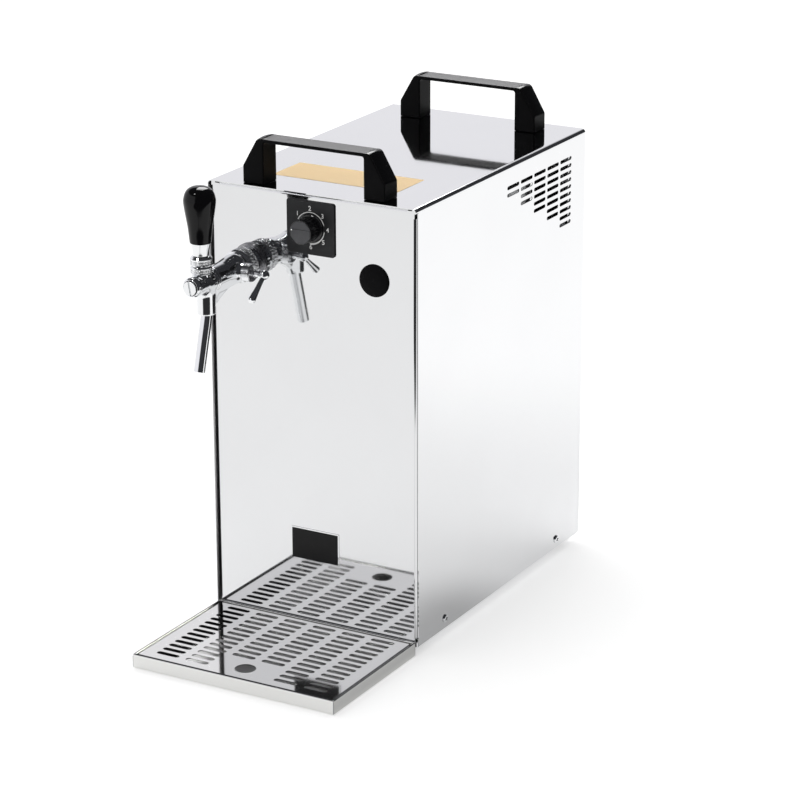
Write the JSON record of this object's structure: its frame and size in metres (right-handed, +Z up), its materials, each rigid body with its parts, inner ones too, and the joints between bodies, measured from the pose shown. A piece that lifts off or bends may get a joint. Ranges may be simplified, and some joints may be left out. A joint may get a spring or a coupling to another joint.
{
  "type": "dry cooler beer dispenser",
  "caption": "Counter-top dry cooler for beer: folded steel housing with bridge handles, a compensator tap on its front, a thermostat dial and a slotted drip tray before it.",
  "frame": {"origin": "middle of the footprint of housing, drip tray and rear inlet, on the table", "axes": "+Z up, +Y from the drip tray towards the rear panel, +X to the right of somebody who faces the tap"},
  "size_m": [0.2492, 0.5642, 0.5288],
  "materials": {
    "mirror_steel": "polished stainless steel sheet",
    "zinc_steel": "zinc-plated steel",
    "chrome": "bright chrome plate",
    "satin_chrome": "satin chrome plate",
    "dark_nickel": "dark nickel plate",
    "black_gloss": "gloss black moulding",
    "black_plastic": "fine-grained black moulding",
    "black_matt": "matt black plate",
    "rubber": "black rubber",
    "aluminium": "bare aluminium",
    "copper": null,
    "brass": "bare brass",
    "black_paint": "black enamel",
    "foam": "closed-cell foam",
    "white_tube": "food-grade tube",
    "grey_plastic": "grey moulding"
  },
  "bodies": {
    "housing": {"base_chassis": "zinc_steel", "casing_wrap": "mirror_steel", "front_panel": "mirror_steel", "rear_panel": "mirror_steel", "thermostat_plate": "black_matt", "thermostat_body": "grey_plastic", "thermostat_capillary": "copper", "tap_hole_plug": "black_plastic", "tap_panel_washer": "dark_nickel", "tap_notched_ring": "dark_nickel", "tap_union_nut": "chrome", "tap_shank": "zinc_steel", "tap_shank_nut": "brass", "tap_body": "chrome", "tap_front_plug": "chrome", "tap_spout": "chrome", "tap_bonnet_nut": "chrome", "compensator_collar": "satin_chrome", "cooling_block": "aluminium", "insulation_shell": "foam", "outlet_tube": "white_tube", "inlet_tube": "white_tube", "compressor": "black_paint", "condenser": "aluminium", "fan_shroud": "zinc_steel", "fan_motor": "black_paint", "discharge_pipe": "copper", "suction_pipe": "copper", "filter_drier": "copper", "inlet_fitting": "grey_plastic", "cable_gland": "black_plastic", "handle_front": "black_plastic", "foot_front_left": "rubber", "casing_screw_front_left": "zinc_steel", "handle_cap_front_left": "black_plastic", "foot_front_right": "rubber", "casing_screw_front_right": "zinc_steel", "handle_cap_front_right": "black_plastic", "handle_rear": "black_plastic", "foot_rear_left": "rubber", "casing_screw_rear_left": "zinc_steel", "handle_cap_rear_left": "black_plastic", "foot_rear_right": "rubber", "casing_screw_rear_right": "zinc_steel", "handle_cap_rear_right": "black_plastic", "compressor_mount_1": "rubber", "compressor_mount_2": "rubber", "compressor_mount_3": "rubber", "compressor_mount_4": "rubber"},
    "tap_lever": {"tap_lever_stem": "chrome", "tap_lever_nut": "chrome", "tap_lever_knob": "black_gloss"},
    "tap_valve": {"tap_valve_stem": "satin_chrome"},
    "compensator": {"compensator_lever": "satin_chrome"},
    "thermostat_dial": {"thermostat_knob": "black_plastic", "thermostat_shaft": "brass"},
    "fan": {"fan_blade": "black_plastic"},
    "tray": {"drip_tray": "mirror_steel"},
    "grid": {"drip_grid": "mirror_steel"},
    "inlet_release": {"inlet_collet": "black_plastic"}
  },
  "joints": [
    {"name": "lever_hinge", "type": "hinge", "parent": "housing", "child": "tap_lever", "pos_m": [-0.0725, -0.20805, 0.408], "axis": [1, 0, 0], "range_deg": [-10, 20]},
    {"name": "valve_slide", "type": "slide", "parent": "housing", "child": "tap_valve", "axis": [0, 1, 0], "range_m": [-0.0015, 0.0026]},
    {"name": "compensator_hinge", "type": "hinge", "parent": "housing", "child": "compensator", "pos_m": [-0.05, -0.15305, 0.4], "axis": [1, 0, 0], "range_deg": [-60, 60]},
    {"name": "dial_hinge", "type": "hinge", "parent": "housing", "child": "thermostat_dial", "pos_m": [0, -0.11505, 0.4445], "axis": [0, 1, 0], "range_deg": [0, 270]},
    {"name": "fan_spin", "type": "hinge", "parent": "housing", "child": "fan", "pos_m": [0, 0.17945, 0.35], "axis": [0, 1, 0], "continuous": true},
    {"name": "tray_slide", "type": "slide", "parent": "housing", "child": "tray", "axis": [0, -1, 0], "range_m": [0, 0.12]},
    {"name": "grid_lift", "type": "slide", "parent": "tray", "child": "grid", "axis": [0, 0, 1], "range_m": [0, 0.04]},
    {"name": "collet_push", "type": "slide", "parent": "housing", "child": "inlet_release", "axis": [0, -1, 0], "range_m": [0, 0.0015]}
  ],
  "couplings": [
    {"joint": "valve_slide", "follows": "lever_hinge", "m_per_rad": 0.007}
  ]
}
